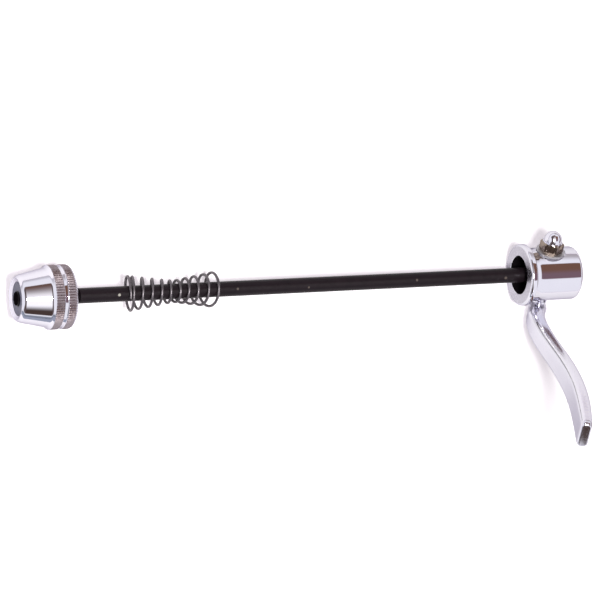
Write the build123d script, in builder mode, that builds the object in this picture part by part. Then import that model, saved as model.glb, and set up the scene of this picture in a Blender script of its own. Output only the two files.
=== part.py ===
from build123d import *
import os
from math import asin, atan, cos, degrees, pi, sin, sqrt

# Quick release skewer, lying on its flange, its nut rim and its lever's knuckle.
# X runs along the rod from the nut to the lever, Z is up, and the origin is the
# middle of the housing's clamp face. All sizes are in millimetres.

# Rod
grip_length = 158.0
rod_d = 4.95
rod_end_proud = 0.76
rod_end_chamfer = 0.5
eye_thickness = 6.0
eye_wall = 1.5
eye_corner = 2.4
eye_root_length = 2.6
eye_side_gap = 0.6

# Adjusting nut and its nylon insert
nut_d = 20.6
nut_length = 17.9
rim_width = 7.5
rim_round = 1.5
rim_edge = 0.35
inner_knurl_width = 3.3
rim_groove_width = 1.4
rim_groove_depth = 0.5
knurl_count = 72
knurl_depth = 0.32
knurl_land = 0.05
cone_base_d = 18.9
cone_base_drop = 0.9
cone_base_fillet = 1.4
cone_end_d = 15.1
cone_end_round = 2.0
cone_end_bevel = 0.9
nut_mouth_d = 13.5
nut_mouth_round = 0.15
insert_d = 10.8
insert_depth = 3.6
insert_recess = 0.8
insert_edge = 0.35

# Springs
spring_wire_d = 0.9
spring_wide_d = 12.1
spring_turns = 4.6
spring_pitch = 3.15
spring_play = 0.5
spring_join_x = -122.8
spring_join_gap = 0.3

# Cam housing
flange_d = 20.6
flange_thickness = 2.2
flange_round = 0.9
flange_back_round = 0.35
flange_fillet = 1.05
flange_lip = 1.45
housing_length = 20.0
housing_end_round = 1.3
barrel_wall = 2.45
housing_end_wall = 2.7
bore_mouth_chamfer = 0.1
bore_end_fillet = 0.8
cam_x = 9.9
washer_seat_drop = 0.45

# Lever with its cam axle, in one forging
cam_d = 4.9
cam_throw = 0.7
journal_d = 6.4
journal_inset = 0.65
shoulder_d = 5.2
shoulder_inset = 0.1
pivot_d = 4.4
stud_d = 3.9
stud_reach = 4.6
neck_d = 3.5
bead_d = 4.9
bead_length = 1.3
bead_gap = 1.45
knuckle_d = 6.2
knuckle_gap = 4.75
lever_edge_share = 0.4

# Cap nut and washer
washer_d = 9.7
washer_thickness = 0.7
cap_flats = 7.0
cap_hex_height = 3.4
cap_hex_chamfer = 0.4
cap_dome_d = 6.0
cap_height = 7.0
cap_bore_end_room = 0.3

# Clearances, each on the radius or between two faces
running_fit = 0.05
thread_fit = 0.05
face_fit = 0.05
insert_fit = 0.03
spring_fit = 0.1
seat_fit = 0.3
eye_fit = 0.06

# Sizes that follow from others
barrel_d = flange_d - 2 * flange_lip
housing_bore_d = barrel_d - 2 * barrel_wall
washer_seat_height = barrel_d / 2 - washer_seat_drop
journal_end = barrel_d / 2 - journal_inset
bead_height = barrel_d / 2 + bead_gap
knuckle_height = barrel_d / 2 + knuckle_gap
cam_length = eye_thickness + 2 * eye_side_gap

# The lever's middle line, as (out from the axle, along the rod, along the axle)
lever_root = (0.0, 0.0, -knuckle_height)
lever_neck = (5.0, -2.8, -knuckle_height - 0.6)
lever_waist = (18.0, -3.8, -knuckle_height - 2.8)
lever_middle = (34.0, -3.7, -knuckle_height - 4.1)
lever_bend = (48.0, -5.3, -knuckle_height - 6.0)
lever_curl = (57.0, -7.6, -knuckle_height - 7.7)
lever_tip = (64.0, -9.9, -knuckle_height - 8.9)
lever_points = (lever_root, lever_neck, lever_waist, lever_middle, lever_bend, lever_curl, lever_tip)

# The lever's section, as (share of its length, width along the axle, thickness)
lever_sections = (
    (0.0, 5.6, 5.4),
    (0.06, 7.4, 5.8),
    (0.13, 8.0, 5.4),
    (0.22, 8.2, 4.9),
    (0.36, 8.2, 4.7),
    (0.5, 8.7, 4.7),
    (0.66, 9.4, 4.6),
    (0.82, 9.9, 4.6),
    (0.965, 10.0, 3.9),
    (1.0, 7.8, 2.6),
)

# The roll about the rod at which flange, nut rim and knuckle all touch the ground
roll = asin((flange_d - knuckle_d) / 2 / knuckle_height)
rod_axis = Vector(1, 0, 0)
axle_axis = Vector(0, cos(roll), sin(roll))
lever_axis = Vector(0, -sin(roll), cos(roll))

# The axle's plane has x out along the closed lever, y along the rod and z towards the
# cap nut. The axle's section has x out along the lever and y towards the cap nut.
axle_plane = Plane(origin=(cam_x, 0, 0), x_dir=lever_axis, z_dir=axle_axis)
axle_section = Plane(origin=(cam_x, 0, 0), x_dir=lever_axis, z_dir=-rod_axis)
axle_line = Axis((cam_x, 0, 0), axle_axis)

nut_end_x = -(grip_length + nut_length)
insert_face_x = nut_end_x + insert_recess
rod_end_x = insert_face_x - rod_end_proud
washer_top = washer_seat_height + washer_thickness
cap_base = washer_top + face_fit
stud_end = cap_base + stud_reach
bore_end_x = housing_length - housing_end_wall
os.makedirs("parts", exist_ok=True)


def nut_x(outward):
    """Place on the X axis at a distance outward from the nut's clamp face."""
    return -(grip_length + outward)


# The cam strays this far along the rod from the steady travel that the rod is given
travel_share = asin(2 / pi)
cam_stray = cam_throw * (cos(travel_share) - 1 + 2 * travel_share / pi)
slot_radius = cam_d / 2 + abs(cam_stray) + eye_fit
slot_length = 2 * (slot_radius + cam_throw)
eye_width = slot_length + 2 * eye_wall
eye_depth = 2 * (slot_radius + eye_wall)
eye_x = cam_x + cam_throw
eye_start_x = eye_x - eye_depth / 2

# Rod, and its eye around the cam
with BuildPart() as skewer_rod:
    with BuildSketch(Plane.XY) as rod_profile:
        with BuildLine():
            Polyline(
                (rod_end_x, 0),
                (rod_end_x, rod_d / 2 - rod_end_chamfer),
                (rod_end_x + rod_end_chamfer, rod_d / 2),
                (eye_start_x - eye_root_length, rod_d / 2),
                (eye_start_x, eye_thickness / 2),
                (eye_start_x + eye_wall / 2, eye_thickness / 2),
                (eye_start_x + eye_wall / 2, 0),
                close=True,
            )
        make_face()
    revolve(axis=Axis.X)
    with BuildSketch(axle_plane.offset(-eye_thickness / 2)) as eye_outline:
        with Locations((0, cam_throw)):
            RectangleRounded(eye_width, eye_depth, eye_corner)
    extrude(amount=eye_thickness)
    with BuildSketch(axle_plane.offset(-eye_thickness / 2)) as eye_slot:
        with Locations((0, cam_throw)):
            SlotOverall(slot_length, 2 * slot_radius)
    extrude(amount=eye_thickness, mode=Mode.SUBTRACT)
skewer_rod.part.label = "skewer_rod"
export_step(skewer_rod.part, "parts/skewer_rod.step")

# Adjusting nut: cone with a dished end, knurled and grooved rim, threaded bore, seat for
# the insert
nut_bore_r = rod_d / 2 + thread_fit
insert_seat_r = insert_d / 2 + insert_fit
groove_r = nut_d / 2 - rim_groove_depth
groove_start = nut_x(inner_knurl_width)
groove_end = nut_x(inner_knurl_width + rim_groove_width)
with BuildPart() as adjusting_nut:
    with BuildSketch(Plane.XY) as nut_profile:
        with BuildLine():
            FilletPolyline(
                (nut_x(0), nut_bore_r),
                (nut_x(0), nut_d / 2),
                (groove_start, nut_d / 2),
                (groove_start, groove_r),
                (groove_end, groove_r),
                (groove_end, nut_d / 2),
                (nut_x(rim_width), nut_d / 2),
                (nut_x(rim_width + cone_base_drop), cone_base_d / 2),
                (nut_end_x + cone_end_bevel, cone_end_d / 2),
                (nut_end_x, nut_mouth_d / 2),
                (insert_face_x, insert_seat_r),
                (nut_end_x + insert_depth, insert_seat_r),
                (nut_end_x + insert_depth, nut_bore_r),
                radius=(
                    0,
                    rim_round,
                    0,
                    0,
                    0,
                    0,
                    rim_edge,
                    cone_base_fillet,
                    cone_end_round,
                    nut_mouth_round,
                    0,
                    0,
                    0,
                ),
                close=True,
            )
        make_face()
    revolve(axis=Axis.X)
    with BuildSketch(Plane.YZ.offset(nut_x(rim_width))) as knurl_gaps:
        Circle(nut_d)
        knurl_step = 2 * pi / knurl_count
        knurl_points = []
        for tooth in range(knurl_count):
            for half, radius in ((0, nut_d / 2 + knurl_land), (0.5, nut_d / 2 - knurl_depth)):
                angle = (tooth + half) * knurl_step - pi / 2
                knurl_points.append((radius * cos(angle), radius * sin(angle)))
        with BuildLine():
            Polyline(*knurl_points, close=True)
        make_face(mode=Mode.SUBTRACT)
    extrude(amount=rim_width, mode=Mode.SUBTRACT)
adjusting_nut.part.label = "adjusting_nut"
export_step(adjusting_nut.part, "parts/adjusting_nut.step")

# Nylon insert that grips the thread, a little below the nut's outer end
with BuildPart() as lock_insert:
    with BuildSketch(Plane.XY) as insert_profile:
        with BuildLine():
            FilletPolyline(
                (nut_end_x + insert_depth - face_fit, nut_bore_r),
                (nut_end_x + insert_depth - face_fit, insert_d / 2),
                (insert_face_x, insert_d / 2),
                (insert_face_x, nut_bore_r),
                radius=(0, 0, insert_edge, 0),
                close=True,
            )
        make_face()
    revolve(axis=Axis.X)
lock_insert.part.label = "lock_insert"
export_step(lock_insert.part, "parts/lock_insert.step")

# Conical springs, narrow end to narrow end. Each hangs by its upper side on the rod, so
# its own axis drops away from the rod at the slope of its cone.
spring_narrow_r = rod_d / 2 + spring_play + spring_wire_d / 2
spring_wide_r = (spring_wide_d - spring_wire_d) / 2
spring_height = spring_turns * spring_pitch
spring_slope = atan((spring_wide_r - spring_narrow_r) / spring_height)
spring_drop = spring_play - spring_fit
for spring_name, spring_side in (("nut_spring", -1), ("lever_spring", 1)):
    spring_axis = Vector(spring_side * cos(spring_slope), 0, -sin(spring_slope))
    spring_start_x = spring_join_x + spring_side * (spring_wire_d + spring_join_gap) / 2
    spring_start = Vector(spring_start_x, 0, -spring_drop)
    with BuildPart() as spring:
        with BuildLine() as spring_coil:
            Helix(
                spring_pitch,
                spring_height,
                spring_narrow_r,
                center=spring_start,
                direction=spring_axis,
                cone_angle=degrees(spring_slope),
                lefthand=True,
            )
        coil = spring_coil.line
        with BuildSketch(Plane(origin=coil @ 0, z_dir=coil % 0)) as spring_wire:
            Circle(spring_wire_d / 2)
        sweep(path=coil, is_frenet=True)
    spring.part.label = spring_name
    export_step(spring.part, f"parts/{spring_name}.step")

# Cam housing: flange, barrel closed at its outer end, seat for the washer, axle holes
with BuildPart() as cam_housing:
    with BuildSketch(Plane.XY) as housing_profile:
        with BuildLine():
            FilletPolyline(
                (0, housing_bore_d / 2 + bore_mouth_chamfer),
                (0, flange_d / 2),
                (flange_thickness, flange_d / 2),
                (flange_thickness, barrel_d / 2),
                (housing_length, barrel_d / 2),
                (housing_length, 0),
                (bore_end_x, 0),
                (bore_end_x, housing_bore_d / 2),
                (bore_mouth_chamfer, housing_bore_d / 2),
                radius=(
                    0,
                    flange_round,
                    flange_back_round,
                    flange_fillet,
                    housing_end_round,
                    0,
                    0,
                    bore_end_fillet,
                    0,
                ),
                close=True,
            )
        make_face()
    revolve(axis=Axis.X)
    with BuildSketch(axle_plane.offset(washer_seat_height)) as washer_seat:
        Circle(washer_d / 2 + seat_fit)
    extrude(amount=barrel_d / 2, mode=Mode.SUBTRACT)
    with BuildSketch(axle_plane) as pivot_hole:
        Circle(pivot_d / 2 + running_fit)
    extrude(amount=barrel_d, mode=Mode.SUBTRACT)
    with BuildSketch(axle_plane) as journal_hole:
        Circle(journal_d / 2 + running_fit)
    extrude(amount=-barrel_d, mode=Mode.SUBTRACT)
cam_housing.part.label = "cam_housing"
export_step(cam_housing.part, "parts/cam_housing.step")

# Lever: turned axle, cam, knuckle and a curved arm that widens to its tip
shoulder_end = sqrt(housing_bore_d**2 - shoulder_d**2) / 2 - shoulder_inset
with BuildPart() as lever:
    with BuildSketch(axle_section) as axle_profile:
        with BuildLine():
            Polyline(
                (0, -knuckle_height),
                (neck_d / 2, -knuckle_height),
                (neck_d / 2, -bead_height - bead_length / 2),
                (bead_d / 2, -bead_height - bead_length / 4),
                (bead_d / 2, -bead_height + bead_length / 4),
                (neck_d / 2, -bead_height + bead_length / 2),
                (neck_d / 2, -journal_end),
                (journal_d / 2, -journal_end),
                (journal_d / 2, -cam_length / 2),
                (0, -cam_length / 2),
                close=True,
            )
        make_face()
        with BuildLine():
            Polyline(
                (0, cam_length / 2),
                (shoulder_d / 2, cam_length / 2),
                (shoulder_d / 2, shoulder_end),
                (pivot_d / 2, shoulder_end),
                (pivot_d / 2, washer_seat_height),
                (stud_d / 2, washer_seat_height),
                (stud_d / 2, stud_end),
                (0, stud_end),
                close=True,
            )
        make_face()
    revolve(axis=axle_line)
    with BuildSketch(axle_plane.offset(-cam_length / 2)) as cam_outline:
        with Locations((0, cam_throw)):
            Circle(cam_d / 2)
    extrude(amount=cam_length)
    with Locations(axle_plane.from_local_coords(Vector(*lever_root))):
        Sphere(knuckle_d / 2)
    with BuildLine() as lever_line:
        Spline(*[axle_plane.from_local_coords(Vector(*point)) for point in lever_points])
    middle_line = lever_line.line
    for share, width, thickness in lever_sections:
        across = axle_axis - (middle_line % share) * axle_axis.dot(middle_line % share)
        with BuildSketch(Plane(origin=middle_line @ share, x_dir=across, z_dir=middle_line % share)):
            RectangleRounded(width, thickness, lever_edge_share * min(width, thickness))
    loft()
lever.part.label = "lever"
export_step(lever.part, "parts/lever.step")

# Washer under the cap nut
with BuildPart() as washer:
    with BuildSketch(axle_plane.offset(washer_seat_height)) as washer_outline:
        Circle(washer_d / 2)
        Circle(pivot_d / 2 + running_fit, mode=Mode.SUBTRACT)
    extrude(amount=washer_thickness)
washer.part.label = "washer"
export_step(washer.part, "parts/washer.step")

# Cap nut on the axle's stud: hexagon, dome and blind bore
dome_middle = cap_base + cap_height - cap_dome_d / 2
with BuildPart() as cap_nut:
    with BuildSketch(axle_plane.offset(cap_base)) as cap_hex:
        RegularPolygon(cap_flats / 2, 6, major_radius=False)
    extrude(amount=cap_hex_height)
    chamfer(cap_nut.faces().sort_by(axle_line)[-1].edges(), cap_hex_chamfer)
    with BuildSketch(axle_plane.offset(cap_base)) as dome_neck:
        Circle(cap_dome_d / 2)
    extrude(amount=dome_middle - cap_base)
    with Locations(axle_plane.from_local_coords(Vector(0, 0, dome_middle))):
        Sphere(cap_dome_d / 2)
    with BuildSketch(axle_plane.offset(cap_base)) as cap_bore:
        Circle(stud_d / 2 + thread_fit)
    extrude(amount=stud_reach + cap_bore_end_room, mode=Mode.SUBTRACT)
cap_nut.part.label = "cap_nut"
export_step(cap_nut.part, "parts/cap_nut.step")
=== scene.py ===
import math

import bmesh
import bpy
import numpy as np
from mathutils import Matrix, Vector


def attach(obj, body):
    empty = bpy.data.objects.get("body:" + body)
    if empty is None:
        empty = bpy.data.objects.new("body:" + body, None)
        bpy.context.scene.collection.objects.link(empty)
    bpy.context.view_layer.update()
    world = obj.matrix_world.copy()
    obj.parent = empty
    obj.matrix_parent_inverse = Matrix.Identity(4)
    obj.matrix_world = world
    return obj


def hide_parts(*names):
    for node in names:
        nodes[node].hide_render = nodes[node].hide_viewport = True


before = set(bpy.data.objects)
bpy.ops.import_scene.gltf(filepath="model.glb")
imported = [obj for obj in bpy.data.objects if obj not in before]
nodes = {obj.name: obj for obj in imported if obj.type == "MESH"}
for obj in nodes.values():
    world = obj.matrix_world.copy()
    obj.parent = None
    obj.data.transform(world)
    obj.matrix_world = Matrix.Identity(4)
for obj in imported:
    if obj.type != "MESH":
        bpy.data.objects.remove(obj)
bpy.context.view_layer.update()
scene = bpy.context.scene
MM = 0.001

# Sizes that several pieces share, in millimetres as in the solids. x runs along the rod, from nut to lever.
NUT_FACE = -158.0
NUT_R, NUT_LENGTH = 10.3, 17.9
NUT_END = NUT_FACE - NUT_LENGTH
INSERT_RECESS = 0.8
FLOOR = -NUT_R
CAM_X, CAM_THROW = 9.9, 0.7
KNUCKLE_R, KNUCKLE_HEIGHT = 3.1, 13.6

# The cam axle's directions. The part lies on flange, rim and knuckle, rolled about the rod.
ROLL = math.asin((NUT_R - KNUCKLE_R) / KNUCKLE_HEIGHT)
AXLE = Vector((0, math.cos(ROLL), math.sin(ROLL)))
OUT = Vector((0, -math.sin(ROLL), math.cos(ROLL)))
ALONG = Vector((1, 0, 0))
AXLE_POINT = Vector((CAM_X, 0, 0))


# Points and outlines

def along_rod(x, y, z):
    """Point of a shape turned about the rod."""
    return (x, y, z)


def axle_point(out, along, axle):
    """Point from its distances out along the lever, along the rod and along the axle."""
    return AXLE_POINT + OUT * out + ALONG * along + AXLE * axle


def along_axle(axle, out, along):
    """Point of a shape turned about the cam axle."""
    return axle_point(out, along, axle)


def rounded(corners, steps=8):
    """Closed outline through (x, y, radius) corners, with an arc of its own radius at each."""
    outline = []
    for i, (x, y, radius) in enumerate(corners):
        corner = np.array((x, y), float)
        if radius == 0:
            outline.append(tuple(corner))
            continue
        before = np.array(corners[i - 1][:2], float) - corner
        after = np.array(corners[(i + 1) % len(corners)][:2], float) - corner
        before /= np.linalg.norm(before)
        after /= np.linalg.norm(after)
        half = math.acos(np.clip(np.dot(before, after), -1, 1)) / 2
        centre = corner + (before + after) / np.linalg.norm(before + after) * radius / math.sin(half)
        start = corner + before * radius / math.tan(half) - centre
        end = corner + after * radius / math.tan(half) - centre
        turn = math.atan2(start[0] * end[1] - start[1] * end[0], np.dot(start, end))
        for k in range(steps + 1):
            c, s = math.cos(turn * k / steps), math.sin(turn * k / steps)
            outline.append((centre[0] + c * start[0] - s * start[1], centre[1] + s * start[0] + c * start[1]))
    return outline


def dense(outline, longest, closed=True):
    """The outline with its long runs divided."""
    divided = []
    following = outline[1:] + outline[:1] if closed else outline[1:]
    for p, q in zip(outline, following):
        parts = max(1, math.ceil(math.hypot(q[0] - p[0], q[1] - p[1]) / longest))
        divided.append(p)
        for k in range(1, parts):
            divided.append((p[0] + (q[0] - p[0]) * k / parts, p[1] + (q[1] - p[1]) * k / parts))
    if not closed:
        divided.append(outline[-1])
    return divided


def natural_cubic(knots, values):
    """Function that gives the point at a knot value on the smooth curve through points."""
    knots = np.array(knots, float)
    values = np.array(values, float)
    count = len(knots)
    gaps = np.diff(knots)
    slopes = np.diff(values, axis=0) / gaps[:, None]
    matrix = np.zeros((count, count))
    right_side = np.zeros((count, values.shape[1]))
    matrix[0, 0] = matrix[-1, -1] = 1
    for i in range(1, count - 1):
        matrix[i, i - 1:i + 2] = gaps[i - 1], 2 * (gaps[i - 1] + gaps[i]), gaps[i]
        right_side[i] = 6 * (slopes[i] - slopes[i - 1])
    bend = np.linalg.solve(matrix, right_side)

    def at(t):
        i = int(np.clip(np.searchsorted(knots, t) - 1, 0, count - 2))
        gap, a, b = gaps[i], knots[i + 1] - t, t - knots[i]
        curved = (bend[i] * a**3 + bend[i + 1] * b**3) / (6 * gap)
        from_start = (values[i] / gap - bend[i] * gap / 6) * a
        from_end = (values[i + 1] / gap - bend[i + 1] * gap / 6) * b
        return curved + from_start + from_end

    return at


# Shapes: pairs of millimetre points and faces

def revolve(outline, segments, place, radius):
    """Ring of a closed (along, radius) outline. The function radius gives each radius at its angle."""
    verts, faces = [], []
    count = len(outline)
    for j in range(segments):
        angle = 2 * math.pi * j / segments
        for x, r in outline:
            r = radius(x, r, angle)
            verts.append(place(x, r * math.cos(angle), r * math.sin(angle)))
    for j in range(segments):
        k = (j + 1) % segments
        for i in range(count):
            m = (i + 1) % count
            faces.append((j * count + i, j * count + m, k * count + m, k * count + i))
    return verts, faces


def turned(profile, segments, place, radius=None):
    """Closed shape of an (along, radius) profile whose first and last points are on the axis."""
    verts = [place(profile[0][0], 0, 0), place(profile[-1][0], 0, 0)]
    faces = []
    inner = profile[1:-1]
    count = len(inner)
    for j in range(segments):
        angle = 2 * math.pi * j / segments
        for x, r in inner:
            if radius:
                r = radius(x, r, angle)
            verts.append(place(x, r * math.cos(angle), r * math.sin(angle)))
    for j in range(segments):
        a, b = 2 + j * count, 2 + (j + 1) % segments * count
        faces.append((0, a, b))
        faces.append((1, b + count - 1, a + count - 1))
        for i in range(count - 1):
            faces.append((a + i, a + i + 1, b + i + 1, b + i))
    return verts, faces


def skin(rings):
    """Closed shape through rings of as many points each."""
    count, last = len(rings[0]), len(rings) - 1
    verts = [point for ring in rings for point in ring]
    faces = []
    for i in range(last):
        for k in range(count):
            m = (k + 1) % count
            faces.append((i * count + k, i * count + m, (i + 1) * count + m, (i + 1) * count + k))
    faces.append(tuple(range(count - 1, -1, -1)))
    faces.append(tuple(last * count + k for k in range(count)))
    return verts, faces


def tube(path, radius, sides):
    """Wire of round section along a list of points."""
    rings = []
    side = None
    for i, point in enumerate(path):
        forward = (path[min(i + 1, len(path) - 1)] - path[max(i - 1, 0)]).normalized()
        if side is None:
            side = forward.orthogonal().normalized()
        side = (side - forward * side.dot(forward)).normalized()
        other = forward.cross(side)
        angles = [2 * math.pi * k / sides for k in range(sides)]
        rings.append([point + side * (radius * math.cos(a)) + other * (radius * math.sin(a)) for a in angles])
    return skin(rings)


def joined(shapes):
    """One shape of several."""
    verts, faces = [], []
    for some_verts, some_faces in shapes:
        base = len(verts)
        verts.extend(some_verts)
        faces.extend(tuple(i + base for i in face) for face in some_faces)
    return verts, faces


# Meshes and objects in metres

def mesh_of(name, shape):
    verts, faces = shape
    mesh = bpy.data.meshes.new(name)
    mesh.from_pydata([Vector(v) * MM for v in verts], [], faces)
    return mesh


def face_outwards(mesh):
    bm = bmesh.new()
    bm.from_mesh(mesh)
    bmesh.ops.recalc_face_normals(bm, faces=bm.faces)
    bm.to_mesh(mesh)
    bm.free()


def add_object(name, data):
    obj = bpy.data.objects.new(name, data)
    scene.collection.objects.link(obj)
    return obj


def add_piece(name, mesh, body, replaced, mats, sharp=32.0):
    """Piece that rides on a body, in the first of its materials. Edges past sharp degrees stay sharp."""
    face_outwards(mesh)
    mesh.shade_smooth()
    mesh.set_sharp_from_angle(angle=math.radians(sharp))
    obj = add_object(name, mesh)
    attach(obj, body)
    if replaced:
        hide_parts(*replaced)
    mesh.materials.clear()
    for mat in mats:
        mesh.materials.append(mat)


def paint_faces(mesh, pick):
    """Gives each face the material that pick names, by its middle's x and distance from the rod's axis."""
    for face in mesh.polygons:
        x, y, z = (distance / MM for distance in face.center)
        face.material_index = pick(x, math.hypot(y, z))


# Materials

BROAD_DETAIL, FINE_DETAIL = 4, 3
NOISE_LOW, NOISE_HIGH = 0.3, 0.7
# Tint of metal reflections at grazing angles: painted shade that draws dark outlines at the edges.
EDGE_PAINTED_SHADE = (0.5, 0.48, 0.54, 1)
LATHE_GRAIN = 0.8
SPECK_INNER, SPECK_OUTER = 0.8, 1.2


def add_node(tree, kind, inputs=None, **settings):
    """Shader node with its settings. An input is a value or another node's output."""
    node = tree.nodes.new("ShaderNode" + kind)
    for name, value in settings.items():
        setattr(node, name, value)
    for key, value in (inputs or {}).items():
        if isinstance(value, bpy.types.NodeSocket):
            tree.links.new(value, node.inputs[key])
        else:
            node.inputs[key].default_value = value
    return node


def principled(mat):
    return mat.node_tree.nodes["Principled BSDF"]


def material(name, light, dark, metallic, rough, spread, grain, bump=0.0, specular=0.5):
    """Colour between two shades and roughness between two values, by noise in the piece's own space.

    grain is the fine noise's scale, and the colour's noise is spread times as broad.
    """
    mat = bpy.data.materials.new(name)
    mat.use_nodes = True
    tree = mat.node_tree
    shader = principled(mat)
    shader.inputs["Metallic"].default_value = metallic
    shader.inputs["Specular IOR Level"].default_value = specular
    place = add_node(tree, "TexCoord").outputs["Object"]
    broad = add_node(tree, "TexNoise", {"Vector": place, "Scale": grain / spread, "Detail": BROAD_DETAIL})
    shade = add_node(tree, "Mix", {"Factor": broad.outputs["Fac"], "A": (*light, 1), "B": (*dark, 1)},
                     data_type="RGBA")
    tree.links.new(shade.outputs["Result"], shader.inputs["Base Color"])
    fine = add_node(tree, "TexNoise", {"Vector": place, "Scale": grain, "Detail": FINE_DETAIL})
    polish = add_node(tree, "MapRange", {
        "Value": fine.outputs["Fac"], "From Min": NOISE_LOW, "From Max": NOISE_HIGH,
        "To Min": rough[0], "To Max": rough[1]})
    tree.links.new(polish.outputs["Result"], shader.inputs["Roughness"])
    if bump:
        relief = add_node(tree, "Bump", {"Strength": 1.0, "Distance": bump, "Height": fine.outputs["Fac"]})
        tree.links.new(relief.outputs["Normal"], shader.inputs["Normal"])
    return mat


def metal(name, light, dark, rough, spread, grain):
    """Metal whose reflection darkens at grazing angles: painted shade that draws dark outlines at its edges.
    """
    mat = material(name, light, dark, 1.0, rough, spread, grain)
    principled(mat).inputs["Specular Tint"].default_value = EDGE_PAINTED_SHADE
    return mat


def lathe_turned(mat):
    """Gives a metal the fine rings of a lathe about the rod's axis."""
    lathe = add_node(mat.node_tree, "Tangent", direction_type="RADIAL", axis="X")
    principled(mat).inputs["Anisotropic"].default_value = LATHE_GRAIN
    mat.node_tree.links.new(lathe.outputs["Tangent"], principled(mat).inputs["Tangent"])
    return mat


def specks(mat, shade, spots):
    """Adds lighter specks to the colour, each at a millimetre point with its own radius."""
    tree = mat.node_tree
    base = principled(mat).inputs["Base Color"]
    colour = base.links[0].from_socket
    place = add_node(tree, "TexCoord").outputs["Object"]
    for point, radius in spots:
        away = add_node(tree, "VectorMath", {0: place, 1: Vector(point) * MM}, operation="DISTANCE")
        inside = add_node(tree, "MapRange", {
            "Value": away.outputs["Value"],
            "From Min": radius * SPECK_OUTER * MM, "From Max": radius * SPECK_INNER * MM})
        blend = add_node(tree, "Mix", {"Factor": inside.outputs["Result"], "A": colour, "B": (*shade, 1)},
                         data_type="RGBA")
        colour = blend.outputs["Result"]
    tree.links.new(colour, base)


chrome = metal("chrome_plate", light=(0.85, 0.84, 0.9), dark=(0.8, 0.79, 0.86), rough=(0.04, 0.07),
               spread=12, grain=1400)
worn_chrome = metal("worn_chrome_plate", light=(0.86, 0.85, 0.91), dark=(0.8, 0.79, 0.86), rough=(0.1, 0.2),
                    spread=6, grain=1400)
knurled = metal("knurled_chrome", light=(0.5, 0.44, 0.46), dark=(0.27, 0.22, 0.23), rough=(0.22, 0.36),
                spread=3, grain=1500)
# The hexagon's brown is a painted reflection of dark brown surroundings, varying at random between two
# shades.
hexagon = metal("hexagon_painted_reflection", light=(0.46, 0.37, 0.3), dark=(0.2, 0.17, 0.14), rough=(0.12, 0.24),
                spread=2, grain=900)
zinc = metal("zinc_washer", light=(0.6, 0.59, 0.61), dark=(0.45, 0.44, 0.46), rough=(0.42, 0.55),
             spread=3, grain=1500)
turned_face = lathe_turned(metal("turned_flange_face", light=(0.7, 0.68, 0.74), dark=(0.6, 0.58, 0.64),
                                 rough=(0.2, 0.3), spread=4, grain=1500))
turned_mouth = lathe_turned(metal("turned_nut_mouth", light=(0.82, 0.8, 0.88), dark=(0.74, 0.72, 0.8),
                                  rough=(0.2, 0.3), spread=4, grain=1500))
wire = material("spring_wire", light=(0.22, 0.2, 0.215), dark=(0.12, 0.108, 0.116), metallic=1.0,
                rough=(0.38, 0.5), spread=3, grain=1800)
# Near-black with no gloss: painted shade for the inside of the housing's bore and for the rod's end face.
black_painted_shade = material("black_painted_shade", light=(0.005, 0.004, 0.005), dark=(0.009, 0.007, 0.009), metallic=0.0,
                      rough=(0.5, 0.7), spread=3, grain=1200, specular=0.0)
nylon = material("slate_nylon", light=(0.245, 0.24, 0.335), dark=(0.18, 0.178, 0.255), metallic=0.0,
                 rough=(0.42, 0.55), spread=3, grain=1600, bump=0.00001, specular=0.3)
black_oxide = material("black_oxide_rod", light=(0.007, 0.0045, 0.0065), dark=(0.016, 0.0095, 0.013),
                       metallic=0.0, rough=(0.3, 0.44), spread=5, grain=1700, bump=0.000008, specular=0.17)
# Lighter specks on the rod, each at a given point with its own radius.
specks(black_oxide, shade=(0.45, 0.43, 0.38), spots=[((-142.0, -0.35, 2.45), 0.45)])
specks(black_oxide, shade=(0.1, 0.08, 0.07), spots=[
    ((-101.6, -0.2, 2.46), 0.4),
    ((-76.8, -0.8, 2.33), 0.35),
    ((-38.3, -0.1, 2.47), 0.4),
    ((-5.9, -0.8, 2.34), 0.5),
])


# Adjusting nut: a cone with a dished mouth, and a rim with two knurled bands

RIM_WIDTH, RIM_ROUND, RIM_EDGE = 7.5, 1.5, 0.35
GROOVE_START, GROOVE_END, GROOVE_DEPTH, GROOVE_ROUND = 3.3, 4.7, 0.5, 0.3
GROOVE_R = NUT_R - GROOVE_DEPTH
BAND_EDGE = 0.15
CONE_DROP, CONE_BASE_R, CONE_FILLET = 0.9, 9.45, 1.4
CONE_BEVEL, CONE_END_R, CONE_END_ROUND = 0.9, 7.55, 2.0
MOUTH_R, MOUTH_ROUND, MOUTH_FINISH_R = 6.75, 0.15, 6.7
SEAT_R, SEAT_DEPTH = 5.43, 3.6
NUT_BORE_R = 2.525
NUT_STEP, NUT_ARC_STEPS = 1.1, 7
KNURLS, KNURL_DEPTH, KNURL_LAND, KNURL_STEPS = 72, 0.32, 0.05, 6
BAND_FOOT_R, BAND_INSET, BAND_MARGIN = 9.6, 0.9, 0.2


def nut_x(outward):
    return NUT_FACE - outward


def knurl(x, r, angle):
    if x < nut_x(RIM_WIDTH):
        return r
    share = (angle / (2 * math.pi) * KNURLS) % 1.0
    return min(r, NUT_R + KNURL_LAND - (KNURL_DEPTH + KNURL_LAND) * (1 - abs(2 * share - 1)))


def nut_finish(x, r):
    """0 for chrome, 1 for the knurled bands, 2 for the dished mouth."""
    outer_band = nut_x(RIM_WIDTH - BAND_MARGIN) < x < nut_x(GROOVE_END)
    inner_band = nut_x(GROOVE_START) < x < nut_x(BAND_INSET)
    if (outer_band or inner_band) and r > BAND_FOOT_R:
        return 1
    return 2 if x < NUT_END + INSERT_RECESS and r < MOUTH_FINISH_R else 0


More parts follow.
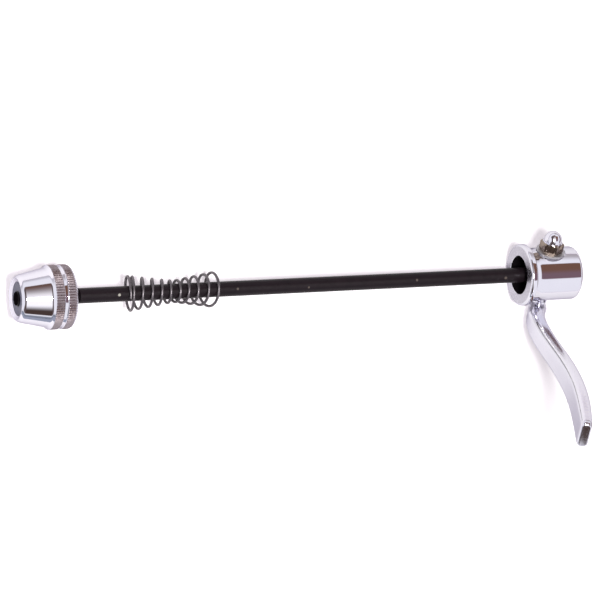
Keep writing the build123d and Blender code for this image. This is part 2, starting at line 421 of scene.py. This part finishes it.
def adjusting_nut():
    outline = dense(rounded([
        (nut_x(0), NUT_BORE_R, 0),
        (nut_x(0), NUT_R, RIM_ROUND),
        (nut_x(GROOVE_START), NUT_R, BAND_EDGE),
        (nut_x(GROOVE_START), GROOVE_R, GROOVE_ROUND),
        (nut_x(GROOVE_END), GROOVE_R, GROOVE_ROUND),
        (nut_x(GROOVE_END), NUT_R, BAND_EDGE),
        (nut_x(RIM_WIDTH), NUT_R, RIM_EDGE),
        (nut_x(RIM_WIDTH + CONE_DROP), CONE_BASE_R, CONE_FILLET),
        (NUT_END + CONE_BEVEL, CONE_END_R, CONE_END_ROUND),
        (NUT_END, MOUTH_R, MOUTH_ROUND),
        (NUT_END + INSERT_RECESS, SEAT_R, 0),
        (NUT_END + SEAT_DEPTH, SEAT_R, 0),
        (NUT_END + SEAT_DEPTH, NUT_BORE_R, 0),
    ], steps=NUT_ARC_STEPS), NUT_STEP)
    mesh = mesh_of("nut_body", revolve(outline, KNURLS * KNURL_STEPS, along_rod, knurl))
    add_piece("nut_body", mesh, "nut", ["adjusting_nut"], (chrome, knurled, turned_mouth), sharp=38)
    paint_faces(mesh, nut_finish)


# Rod: shank and eye as in the solid, and a rolled thread at the nut end

ROD_R, ROD_PROUD, ROD_FACE = 2.475, 0.76, 0.3
ROD_END = NUT_END + INSERT_RECESS - ROD_PROUD
THREAD_ROOT_R, THREAD_PITCH, THREAD_PAST_NUT, THREAD_GAP = 2.06, 0.8, 3.0, 0.2
THREAD_END = NUT_FACE + THREAD_PAST_NUT
THREAD_LEAD, THREAD_FADE = 0.5, 0.35
RIDGE_TOP, RIDGE_SLOPE = 1.35, 2.7
THREAD_SIDES, THREAD_ROWS = 40, 12
WELD_DISTANCE, CUT_DISTANCE = 1e-7, 1e-8


def rod_shank():
    mesh = nodes["skewer_rod"].data.copy()
    bm = bmesh.new()
    bm.from_mesh(mesh)
    bmesh.ops.remove_doubles(bm, verts=bm.verts, dist=WELD_DISTANCE)
    bmesh.ops.bisect_plane(bm, geom=bm.verts[:] + bm.edges[:] + bm.faces[:], dist=CUT_DISTANCE,
                           plane_co=(THREAD_END * MM, 0, 0), plane_no=(1, 0, 0), clear_inner=True)
    bmesh.ops.holes_fill(bm, edges=[e for e in bm.edges if e.is_boundary], sides=0)
    bm.to_mesh(mesh)
    bm.free()
    add_piece("rod_shank", mesh, "rod", ["skewer_rod"], (black_oxide,))


def thread_finish(x, r):
    """0 for the thread, 1 for the rod's end face, painted black as shade."""
    return int(x < ROD_END + ROD_FACE)


def rod_thread():
    length = THREAD_END - THREAD_GAP - ROD_END
    columns = int(length / THREAD_PITCH * THREAD_ROWS)
    rings = []
    for i in range(columns + 1):
        x = ROD_END + length * i / columns
        depth = max(0.0, min(1.0, (x - ROD_END) / THREAD_LEAD, (ROD_END + length - x) / THREAD_FADE))
        ring = []
        for k in range(THREAD_SIDES):
            angle = 2 * math.pi * k / THREAD_SIDES
            phase = (x / THREAD_PITCH - angle / (2 * math.pi)) % 1.0
            ridge = min(1.0, max(0.0, RIDGE_TOP - RIDGE_SLOPE * abs(phase - 0.5)))
            r = THREAD_ROOT_R + (ROD_R - THREAD_ROOT_R) * ridge * depth
            ring.append((x, r * math.cos(angle), r * math.sin(angle)))
        rings.append(ring)
    mesh = mesh_of("rod_thread", skin(rings))
    add_piece("rod_thread", mesh, "rod", (), (black_oxide, black_painted_shade), sharp=50)
    paint_faces(mesh, thread_finish)


# Springs: left-hand cones that hang on the rod, narrow end to narrow end

SPRING_NARROW_R, SPRING_WIDE_R, WIRE_R = 3.425, 5.6, 0.45
SPRING_TURNS, SPRING_PITCH = 4.6, 3.15
SPRING_HEIGHT = SPRING_TURNS * SPRING_PITCH
SPRING_SLOPE = math.atan((SPRING_WIDE_R - SPRING_NARROW_R) / SPRING_HEIGHT)
SPRING_DROP = 0.4
SPRING_STEPS, WIRE_SIDES = 60, 14
NUT_SPRING_X, LEVER_SPRING_X = -123.4, -122.2
# Turn, and distance along the spring's axis there
NUT_SPRING_RISES = ((-0.6, 0.05), (0, 0.6), (1, 3.75), (2, 6.92), (3, 10.17), (4, 13.34), (5.05, 14.3))
LEVER_SPRING_RISES = ((-0.35, 0.0), (0, 0.1), (1, 3.14), (2, 6.31), (3, 9.87), (4, 13.29), (4.5, 14.4))


def spring(name, side, start_x, rises, node, body):
    """Coil from its narrow end, towards the nut or the lever by side. Turn 0 is at the top of the rod."""
    axis = Vector((side * math.cos(SPRING_SLOPE), 0, -math.sin(SPRING_SLOPE)))
    up = Vector((side * math.sin(SPRING_SLOPE), 0, math.cos(SPRING_SLOPE)))
    across = axis.cross(up)
    start = Vector((start_x, 0, -SPRING_DROP))
    knots = [turn for turn, rise in rises]
    turns = np.linspace(knots[0], knots[-1], int((knots[-1] - knots[0]) * SPRING_STEPS) + 1)
    height = np.interp(turns, knots, [rise for turn, rise in rises])
    # Rises smoothed over half a turn
    reach = SPRING_STEPS // 4
    before = 2 * height[0] - height[reach:0:-1]
    after = 2 * height[-1] - height[-2:-reach - 2:-1]
    window = np.ones(2 * reach + 1) / (2 * reach + 1)
    height = np.convolve(np.concatenate([before, height, after]), window, "valid")
    path = []
    for turn, rise in zip(turns, height):
        radius = SPRING_NARROW_R + (SPRING_WIDE_R - SPRING_NARROW_R) * rise / SPRING_HEIGHT
        angle = -2 * math.pi * turn
        path.append(start + axis * rise + (up * math.cos(angle) + across * math.sin(angle)) * radius)
    add_piece(name, mesh_of(name, tube(path, WIRE_R, WIRE_SIDES)), body, [node], (wire,))


def springs():
    spring("spring_at_nut", -1, NUT_SPRING_X, NUT_SPRING_RISES, "nut_spring", "spring_by_nut")
    spring("spring_at_lever", 1, LEVER_SPRING_X, LEVER_SPRING_RISES, "lever_spring", "spring_by_lever")


# Cam housing: flange and barrel, with a washer seat and two axle holes

HOUSING_LENGTH, HOUSING_END_ROUND, BARREL_R = 20.0, 1.3, 8.85
BORE_R, BORE_END, BORE_FILLET, BORE_CHAMFER = 6.4, 17.3, 0.8, 0.1
FLANGE_R, FLANGE_WIDTH, FLANGE_ROUND, FLANGE_BACK_ROUND = NUT_R, 2.2, 0.9, 0.35
FLARE_R, FLARE_END, FLARE_FILLET, FLARE_BLEND = 9.27, 4.3, 0.75, 5.0
HOUSING_STEP, HOUSING_SEGMENTS, HOLE_SEGMENTS = 2.5, 240, 96
HOLE_REACH = 12.0
SEAT_HOLE_R, SEAT_HEIGHT = 5.15, 8.4
PIVOT_HOLE_R, JOURNAL_HOLE_R = 2.25, 3.25
# Holes along the axle: name, radius, and where each starts and ends
HOLES = (("seat", SEAT_HOLE_R, SEAT_HEIGHT, HOLE_REACH), ("pivot", PIVOT_HOLE_R, 0.0, HOLE_REACH),
         ("journal", JOURNAL_HOLE_R, -HOLE_REACH, 0.0))
FACE_MARGIN, BORE_MARGIN = 0.02, 0.05


def housing_finish(x, r):
    """0 for chrome, 1 for the bore, painted black as its shade, 2 for the flange's turned face."""
    if BORE_CHAMFER - FACE_MARGIN < x < BORE_END + BORE_MARGIN and r < BORE_R + BORE_MARGIN:
        return 1
    return 2 if x < FACE_MARGIN else 0


def cam_housing():
    profile = dense(rounded([
        (BORE_END, 0, 0),
        (BORE_END, BORE_R, BORE_FILLET),
        (BORE_CHAMFER, BORE_R, 0),
        (0, BORE_R + BORE_CHAMFER, 0),
        (0, FLANGE_R, FLANGE_ROUND),
        (FLANGE_WIDTH, FLANGE_R, FLANGE_BACK_ROUND),
        (FLANGE_WIDTH, FLARE_R, FLARE_FILLET),
        (FLARE_END, BARREL_R, FLARE_BLEND),
        (HOUSING_LENGTH, BARREL_R, HOUSING_END_ROUND),
        (HOUSING_LENGTH, 0, 0),
    ]), HOUSING_STEP, closed=False)
    solid = mesh_of("housing_raw", turned(profile, HOUSING_SEGMENTS, along_rod))
    face_outwards(solid)
    block = add_object("housing_raw", solid)
    cutters = []
    for name, radius, low, high in HOLES:
        side = [(low, 0), (low, radius), (high, radius), (high, 0)]
        hole = mesh_of(name, turned(side, HOLE_SEGMENTS, along_axle))
        face_outwards(hole)
        cutters.append(add_object(name, hole))
        cut = block.modifiers.new(name, "BOOLEAN")
        cut.operation = "DIFFERENCE"
        cut.solver = "EXACT"
        cut.object = cutters[-1]
    graph = bpy.context.evaluated_depsgraph_get()
    mesh = bpy.data.meshes.new_from_object(block.evaluated_get(graph))
    for used in cutters + [block]:
        bpy.data.objects.remove(used)
    add_piece("housing_barrel", mesh, "housing", ["cam_housing"], (chrome, black_painted_shade, turned_face))
    paint_faces(mesh, housing_finish)


# Lever: turned axle and eccentric, knuckle, and a curved arm

NECK_R, BEAD_AT = 1.75, -10.3
# Bead on the neck: distance along the axle from its middle, and radius
BEAD = ((-0.75, NECK_R), (-0.5, 2.1), (-0.3, 2.38), (0.0, 2.45), (0.3, 2.38), (0.5, 2.1), (0.75, NECK_R))
JOURNAL_R, JOURNAL_START, JOURNAL_EDGE = 3.2, -8.2, 0.1
AXLE_HALF, CAM_HALF, CAM_R = 3.6, 3.8, 2.45
SHOULDER_R, SHOULDER_END = 2.6, 5.75
PIVOT_R, PIVOT_END = 2.2, 8.4
STUD_R, STUD_END = 1.95, 13.75
KNUCKLE_STEPS, JOURNAL_SEGMENTS, AXLE_SEGMENTS = 24, 72, 64
# Centre line of the arm: out along the lever, along the rod and along the axle
ARM_LINE = ((0.0, 0.0, -KNUCKLE_HEIGHT), (5.0, -2.8, -14.2), (18.0, -3.8, -16.4), (34.0, -3.7, -17.7),
            (48.0, -5.3, -19.6), (57.0, -7.6, -21.3), (64.0, -9.9, -22.5))
# Share of the arm's length, width along the axle and thickness
ARM_SECTIONS = ((0.0, 5.6, 5.4), (0.06, 7.4, 5.8), (0.13, 8.0, 5.4), (0.22, 8.2, 4.9), (0.36, 8.2, 4.7),
                (0.5, 8.7, 4.7), (0.66, 9.4, 4.6), (0.82, 9.9, 4.6), (0.965, 10.0, 3.9))
ARM_END_SIZE = (7.8, 2.6)
ARM_TIP = ARM_SECTIONS[-1][0]
ARM_END_TILT = 0.16
ARM_CORNER = 0.4
ARM_SIDES, ARM_RINGS, TIP_RINGS, TIP_START = 72, 84, 12, 0.1
TANGENT_STEP = 0.002


def axle_shapes():
    journal = [(-KNUCKLE_HEIGHT, 0), (-KNUCKLE_HEIGHT, NECK_R)]
    journal += [(BEAD_AT + along, r) for along, r in BEAD]
    journal += [(JOURNAL_START, NECK_R), (JOURNAL_START, JOURNAL_R - JOURNAL_EDGE),
                (JOURNAL_START + JOURNAL_EDGE, JOURNAL_R), (-AXLE_HALF, JOURNAL_R), (-AXLE_HALF, 0)]
    stud = [(AXLE_HALF, 0), (AXLE_HALF, SHOULDER_R), (SHOULDER_END, SHOULDER_R), (SHOULDER_END, PIVOT_R),
            (PIVOT_END, PIVOT_R), (PIVOT_END, STUD_R), (STUD_END, STUD_R), (STUD_END, 0)]
    eccentric = [(-CAM_HALF, 0), (-CAM_HALF, CAM_R), (CAM_HALF, CAM_R), (CAM_HALF, 0)]
    angles = [math.pi * i / KNUCKLE_STEPS for i in range(1, KNUCKLE_STEPS)]
    ball = [(-KNUCKLE_R * math.cos(a), KNUCKLE_R * math.sin(a)) for a in angles]
    ball = [(-KNUCKLE_R, 0)] + ball + [(KNUCKLE_R, 0)]
    return [
        turned(journal, JOURNAL_SEGMENTS, along_axle),
        turned(stud, AXLE_SEGMENTS, along_axle),
        turned(eccentric, AXLE_SEGMENTS, lambda axle, out, along: axle_point(out, along + CAM_THROW, axle)),
        turned(ball, AXLE_SEGMENTS, lambda axle, out, along: axle_point(out, along, axle - KNUCKLE_HEIGHT)),
    ]


def arm_ring(line, share, width, thickness):
    """Section of the arm, square to its centre line. Past the tip's start it leans back a little."""
    ahead = line(min(share + TANGENT_STEP, 1.0)) - line(max(share - TANGENT_STEP, 0.0))
    tangent = (OUT * ahead[0] + ALONG * ahead[1] + AXLE * ahead[2]).normalized()
    if share > ARM_TIP:
        lean = ARM_END_TILT * (share - ARM_TIP) / (1 - ARM_TIP)
        tangent = (tangent + Vector((0, 0, lean))).normalized()
    wide = (AXLE - tangent * AXLE.dot(tangent)).normalized()
    thick = tangent.cross(wide)
    centre = axle_point(*line(share))
    corner = ARM_CORNER * min(width, thickness)
    w, t = width / 2, thickness / 2
    corners = [(w, t, corner), (-w, t, corner), (-w, -t, corner), (w, -t, corner)]
    outline = rounded(corners, steps=ARM_SIDES // 4 - 1)
    return [centre + wide * u + thick * v for u, v in outline]


def arm_shape():
    lengths = [0.0]
    for p, q in zip(ARM_LINE, ARM_LINE[1:]):
        lengths.append(lengths[-1] + math.dist(p, q))
    line = natural_cubic([length / lengths[-1] for length in lengths], ARM_LINE)
    size = natural_cubic([section[0] for section in ARM_SECTIONS], [section[1:] for section in ARM_SECTIONS])
    rings = [arm_ring(line, share, *size(share)) for share in np.linspace(0.0, ARM_TIP, ARM_RINGS)]
    for t in np.linspace(TIP_START, math.pi / 2, TIP_RINGS):
        share = ARM_TIP + (1 - ARM_TIP) * math.sin(t)
        kept = math.sqrt(max(0.0, 1 - ((share - ARM_TIP) / (1 - ARM_TIP)) ** 2))
        width, thickness = (end + (tip - end) * kept for tip, end in zip(ARM_SECTIONS[-1][1:], ARM_END_SIZE))
        rings.append(arm_ring(line, share, width, thickness))
    return skin(rings)


def lever():
    mesh = mesh_of("lever_forging", joined(axle_shapes() + [arm_shape()]))
    add_piece("lever_forging", mesh, "lever_arm", ["lever"], (worn_chrome,), sharp=40)


# Cap nut: hexagon with a turned chamfer, and a dome, on a blind bore

CAP_BASE, CAP_FLAT, CAP_HEX, CAP_HEIGHT = 9.15, 3.5, 3.4, 7.0
CAP_CORNER = CAP_FLAT / math.cos(math.pi / 6)
CAP_TOP = CAP_BASE + CAP_HEX
CAP_BORE_R, CAP_BORE_DEPTH = 2.0, 4.9
FOOT_CHAMFER, FOOT_HEIGHT, HEAD_CHAMFER, HEAD_INSET = 0.35, 0.2, 0.45, 0.15
DOME_R, DOME_FILLET, DOME_STEPS = 3.0, 0.1, 20
CAP_SEGMENTS = 144


def hexed(axle, r, angle):
    return min(r, CAP_FLAT / math.cos(angle % (math.pi / 3) - math.pi / 6))


def cap_nut():
    dome_middle = CAP_BASE + CAP_HEIGHT - DOME_R
    profile = [
        (CAP_BASE + CAP_BORE_DEPTH, 0),
        (CAP_BASE + CAP_BORE_DEPTH, CAP_BORE_R),
        (CAP_BASE, CAP_BORE_R),
        (CAP_BASE, CAP_CORNER - FOOT_CHAMFER),
        (CAP_BASE + FOOT_HEIGHT, CAP_CORNER),
        (CAP_TOP - HEAD_CHAMFER, CAP_CORNER),
        (CAP_TOP, CAP_FLAT - HEAD_INSET),
        (CAP_TOP, DOME_R + DOME_FILLET),
        (CAP_TOP + DOME_FILLET, DOME_R),
    ]
    for t in np.linspace(0, math.pi / 2, DOME_STEPS)[:-1]:
        profile.append((dome_middle + DOME_R * math.sin(t), DOME_R * math.cos(t)))
    profile.append((CAP_BASE + CAP_HEIGHT, 0))
    mesh = mesh_of("cap_nut_dome", turned(profile, CAP_SEGMENTS, along_axle, hexed))
    add_piece("cap_nut_dome", mesh, "lever_arm", ["cap_nut"], (chrome, hexagon), sharp=30)
    for face in mesh.polygons:
        height = (face.center / MM - AXLE_POINT).dot(AXLE)
        face.material_index = int(height < CAP_TOP - FACE_MARGIN)


# Insert and washer: the solids as they are, in materials of their own

def kept_solids():
    for name, mat in (("lock_insert", nylon), ("washer", zinc)):
        mesh = nodes[name].data
        mesh.materials.clear()
        mesh.materials.append(mat)


# Camera at the photograph's angle

PHOTO_WIDTH, FOCAL_PIXELS, SENSOR_WIDTH = 600, 3600, 36.0
CAMERA_TILT, CAMERA_ROLL = math.radians(22.58), math.radians(-2.81)
CAMERA_TARGET, CAMERA_DISTANCE = Vector((-79.17, -4.74, 0.0)), 1167.8
CLIP_START, CLIP_END = 0.01, 20


def place_camera():
    camera = bpy.data.cameras.new("camera")
    camera.sensor_fit = "HORIZONTAL"
    camera.sensor_width = SENSOR_WIDTH
    camera.lens = SENSOR_WIDTH * FOCAL_PIXELS / PHOTO_WIDTH
    camera.clip_start = CLIP_START
    camera.clip_end = CLIP_END
    scene.camera = add_object("camera", camera)
    back = Vector((-math.sin(CAMERA_TILT), 0, math.cos(CAMERA_TILT)))
    level = Vector((math.cos(CAMERA_TILT), 0, math.sin(CAMERA_TILT)))
    right = level * math.cos(CAMERA_ROLL) + back.cross(level) * math.sin(CAMERA_ROLL)
    position = (CAMERA_TARGET + back * CAMERA_DISTANCE) * MM
    turn = Matrix((right, back.cross(right), back)).transposed()
    scene.camera.matrix_world = Matrix.Translation(position) @ turn.to_4x4()


# Floor of white paper, in metres. Reflections alone show a painted shade in slate-blue on the floor's corner
# towards the nut.

FLOOR_REACH = 6
# Paper white, and the slate-blue of the painted shade that only reflections show.
PAPER, PAINTED_SHADE = (0.8, 0.8, 0.8, 1), (0.3, 0.33, 0.41, 1)
PAINTED_SHADE_X, PAINTED_SHADE_Y = -0.08, -0.05
GLOW_TINT = (1.0, 0.92, 0.99, 1)
GLOW_NEAR, GLOW_FAR = 0.08, 0.6
MIRROR_GLOW_NEAR, MIRROR_GLOW_FAR, CAMERA_GLOW_MORE = 0.14, 0.55, 0.38


def lay_floor():
    reach, height = FLOOR_REACH, FLOOR * MM
    mesh = bpy.data.meshes.new("floor")
    mesh.from_pydata([(-reach, -reach, height), (reach, -reach, height), (reach, reach, height),
                      (-reach, reach, height)], [], [(0, 1, 2, 3)])
    floor = add_object("floor", mesh)
    mat = bpy.data.materials.new("floor_paper")
    mat.use_nodes = True
    mesh.materials.append(mat)
    tree = mat.node_tree
    tree.nodes.clear()

    def math_node(operation, *values):
        return add_node(tree, "Math", dict(enumerate(values)), operation=operation).outputs[0]

    rays = add_node(tree, "LightPath").outputs
    spot = add_node(tree, "TexCoord").outputs["Object"]
    axes = add_node(tree, "SeparateXYZ", {0: spot}).outputs
    # Corner of the floor that reflections show as painted shade, in slate-blue.
    corner = math_node("MULTIPLY", math_node("LESS_THAN", axes["Y"], PAINTED_SHADE_Y),
                       math_node("LESS_THAN", axes["X"], PAINTED_SHADE_X))
    mirrors_painted_shade = math_node("MULTIPLY", corner, rays["Is Glossy Ray"])
    mirrors_paper = math_node("SUBTRACT", rays["Is Glossy Ray"], mirrors_painted_shade)
    away = add_node(tree, "VectorMath", {0: spot}, operation="LENGTH").outputs["Value"]
    glow = add_node(tree, "MapRange", {
        "Value": away, "From Min": GLOW_NEAR, "From Max": GLOW_FAR,
        "To Min": MIRROR_GLOW_NEAR, "To Max": MIRROR_GLOW_FAR}).outputs["Result"]
    strength = math_node("MULTIPLY_ADD", rays["Is Camera Ray"], math_node("ADD", glow, CAMERA_GLOW_MORE),
                         math_node("MULTIPLY", mirrors_paper, glow))
    ground = add_node(tree, "MixShader", {
        "Fac": mirrors_painted_shade, 1: add_node(tree, "BsdfDiffuse", {"Color": PAPER}).outputs[0],
        2: add_node(tree, "BsdfDiffuse", {"Color": PAINTED_SHADE}).outputs[0]})
    white = add_node(tree, "Emission", {"Color": GLOW_TINT, "Strength": strength})
    both = add_node(tree, "AddShader", {0: ground.outputs[0], 1: white.outputs[0]})
    add_node(tree, "OutputMaterial", {"Surface": both.outputs[0]})


# Light: a round lamp overhead, a dim fill, and a white tent that only reflections show

LAMP_SIZE, LAMP_ENERGY, LAMP_COLOUR = 0.22, 8.2, (1.0, 0.99, 0.98)
LAMP_AIM, LAMP_SLOPE, LAMP_DISTANCE = Vector((-0.07, 0, 0)), Vector((-0.16, -0.105, 1.0)), 0.9
SKY, FILL, BACKDROP = (0.95, 0.945, 1.0, 1), (1.0, 0.94, 1.0, 1), (1, 1, 1, 1)
FILL_STRENGTH = 0.2
SLOPE_SOFT = 0.04
# Two soft fields of the tent, and the ranges of a direction's x, y or z where each comes and goes
HORIZON, FAR_END = (0.6, 0.58, 0.63, 1), (0.24, 0.18, 0.2, 1)
HORIZON_FOOT_Z, HORIZON_TOP_Z, HORIZON_SIDE_Y = (-0.06, 0.02), (0.06, 0.3), (-0.2, 0.2)
FAR_END_SIDE_X, FAR_END_TOP_Z = (0.8, 0.88), (0.36, 0.46)
# Panels of the tent, each over those before it: swing about the rod and softness in degrees, and slope by x
PANELS = (
    dict(swing=(-42, 22), slope=(-0.6, 0.2), soft=(12, 12), shade=(1.2, 1.18, 1.2, 1)),
    dict(swing=(66, 130), slope=(0.2, 1.2), soft=(14, 3), shade=(0.5, 0.46, 0.48, 1)),
    dict(swing=(21, 54), slope=(-0.5, 0.2), soft=(30, 1.5), shade=(0.15, 0.085, 0.07, 1)),
    dict(swing=(-76, -44), slope=(-0.75, 0.2), soft=(2, 14), shade=(0.07, 0.046, 0.04, 1)),
    dict(swing=(-98, -82), slope=(-0.75, 0.2), soft=(3, 2), shade=(0.27, 0.3, 0.36, 1)),
    dict(swing=(-24, 41), slope=(0.2, 0.66), soft=(2, 2), shade=(0.2, 0.125, 0.15, 1)),
    dict(swing=(6, 41), slope=(0.2, 0.66), soft=(12, 2), shade=(0.185, 0.095, 0.068, 1)),
    dict(swing=(-78, 50), slope=(-0.68, -0.24), soft=(3, 3), shade=(0.12, 0.09, 0.09, 1)),
)


def hang_lamp():
    lamp = bpy.data.lights.new("overhead", "AREA")
    lamp.shape = "DISK"
    lamp.size = LAMP_SIZE
    lamp.energy = LAMP_ENERGY
    lamp.color = LAMP_COLOUR
    direction = LAMP_SLOPE.normalized()
    lamp_object = add_object("overhead", lamp)
    lamp_object.location = LAMP_AIM + direction * LAMP_DISTANCE
    lamp_object.rotation_euler = direction.to_track_quat("Z", "Y").to_euler()


def tent_colour(tree):
    """Colour of the tent in each direction, as a node's output."""
    direction = add_node(tree, "TexCoord").outputs["Generated"]
    axes = add_node(tree, "SeparateXYZ", {0: direction}).outputs
    swing = add_node(tree, "Math", {0: axes["Y"], 1: axes["Z"]}, operation="ARCTAN2").outputs[0]

    def ramp(source, low, high, start, end):
        node = add_node(tree, "MapRange", {
            "Value": source, "From Min": low, "From Max": high, "To Min": start, "To Max": end,
        }, interpolation_type="SMOOTHSTEP")
        return node.outputs["Result"]

    def rising(source, low, high):
        return ramp(source, low, high, 0.0, 1.0)

    def falling(source, low, high):
        return ramp(source, low, high, 1.0, 0.0)

    def times(a, b):
        return add_node(tree, "Math", {0: a, 1: b}, operation="MULTIPLY").outputs[0]

    def between(source, low, high, low_soft, high_soft):
        start = rising(source, low - low_soft, low + low_soft)
        return times(start, falling(source, high - high_soft, high + high_soft))

    def over(colour, mask, shade):
        mix = add_node(tree, "Mix", {"Factor": mask, "A": colour, "B": shade}, data_type="RGBA")
        return mix.outputs["Result"]

    low_sky = times(rising(axes["Z"], *HORIZON_FOOT_Z), falling(axes["Z"], *HORIZON_TOP_Z))
    colour = over(SKY, times(low_sky, rising(axes["Y"], *HORIZON_SIDE_Y)), HORIZON)
    for panel in PANELS:
        low, high = (math.radians(angle) for angle in panel["swing"])
        low_soft, high_soft = (math.radians(angle) for angle in panel["soft"])
        mask = times(between(swing, low, high, low_soft, high_soft),
                     between(axes["X"], *panel["slope"], SLOPE_SOFT, SLOPE_SOFT))
        colour = over(colour, mask, panel["shade"])
    low_end = times(rising(axes["X"], *FAR_END_SIDE_X), falling(axes["Z"], *FAR_END_TOP_Z))
    return over(colour, low_end, FAR_END)


def pitch_tent():
    world = bpy.data.worlds.new("studio")
    scene.world = world
    world.use_nodes = True
    tree = world.node_tree
    tree.nodes.clear()
    rays = add_node(tree, "LightPath").outputs
    tent = add_node(tree, "Background", {"Color": tent_colour(tree), "Strength": 1.0})
    fill = add_node(tree, "Background", {"Color": FILL, "Strength": FILL_STRENGTH})
    white = add_node(tree, "Background", {"Color": BACKDROP, "Strength": 1.0})
    lit = add_node(tree, "MixShader", {"Fac": rays["Is Glossy Ray"], 1: fill.outputs[0], 2: tent.outputs[0]})
    seen = add_node(tree, "MixShader", {"Fac": rays["Is Camera Ray"], 1: lit.outputs[0], 2: white.outputs[0]})
    add_node(tree, "OutputWorld", {"Surface": seen.outputs[0]})


# The whole scene

adjusting_nut()
rod_shank()
rod_thread()
springs()
cam_housing()
lever()
cap_nut()
kept_solids()
place_camera()
lay_floor()
hang_lamp()
pitch_tent()
scene.view_settings.view_transform = "Standard"
